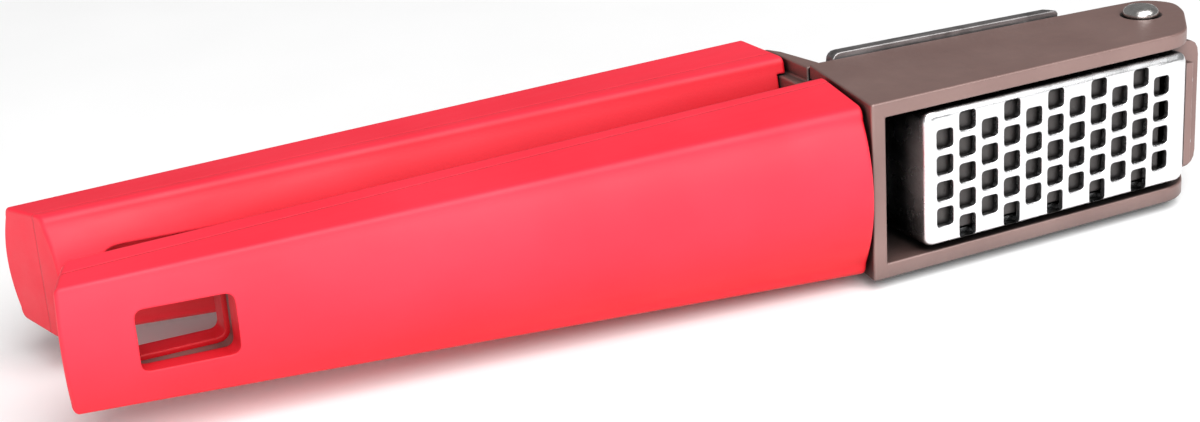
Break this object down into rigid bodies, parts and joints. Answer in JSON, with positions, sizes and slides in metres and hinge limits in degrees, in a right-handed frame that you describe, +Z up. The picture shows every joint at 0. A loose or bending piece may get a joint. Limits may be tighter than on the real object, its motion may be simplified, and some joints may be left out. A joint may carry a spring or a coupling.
{
  "type": "garlic press",
  "caption": "Lever garlic press: two red handles, a channel head with a perforated steel basket, and a hinged presser foot.",
  "frame": {"origin": "on the axis of the hinge rivet, at the rivet's flat lower end, which is the lowest point of the press", "axes": "+Z up along the hinge rivet; the handles run along -X; the sieve faces -Y and the rear lever opens towards +Y"},
  "size_m": [0.18, 0.0534, 0.03],
  "materials": {
    "grip_red": "satin",
    "arm_coat": "satin coat on a die casting",
    "basket_steel": "bright",
    "plate_steel": "brushed",
    "rivet_steel": "bright"
  },
  "bodies": {
    "front": {"front_arm": "arm_coat", "front_grip_shell": "grip_red", "front_grip_cover": "grip_red", "front_grip_screw_1": "rivet_steel", "front_grip_screw_2": "rivet_steel", "front_grip_screw_3": "rivet_steel", "hinge_rivet": "rivet_steel"},
    "rear": {"rear_arm": "arm_coat", "back_plate": "plate_steel", "back_plate_rivet_1": "rivet_steel", "back_plate_rivet_2": "rivet_steel", "rear_grip_shell": "grip_red", "rear_grip_cover": "grip_red", "rear_grip_screw_1": "rivet_steel", "rear_grip_screw_2": "rivet_steel", "rear_grip_screw_3": "rivet_steel", "foot_pin": "rivet_steel"},
    "foot": {"presser_foot": "arm_coat"},
    "basket": {"sieve_basket": "basket_steel", "basket_bracket": "arm_coat", "basket_rivet_1": "rivet_steel", "basket_rivet_2": "rivet_steel"}
  },
  "joints": [
    {"name": "press_hinge", "type": "hinge", "parent": "front", "child": "rear", "pos_m": [0, 0, 0.015], "axis": [0, 0, -1], "range_deg": [0, 110]},
    {"name": "basket_swing", "type": "hinge", "parent": "front", "child": "basket", "pos_m": [0, 0, 0.015], "axis": [0, 0, -1], "range_deg": [0, 55]},
    {"name": "foot_pivot", "type": "hinge", "parent": "rear", "child": "foot", "pos_m": [-0.027, -0.0026, 0.015], "axis": [0, 0, 1], "range_deg": [0, 8.8]}
  ],
  "couplings": [
    {"joint": "basket_swing", "follows": "press_hinge", "ratio": 0.5},
    {"joint": "foot_pivot", "follows": "press_hinge", "ratio": 0.08}
  ]
}
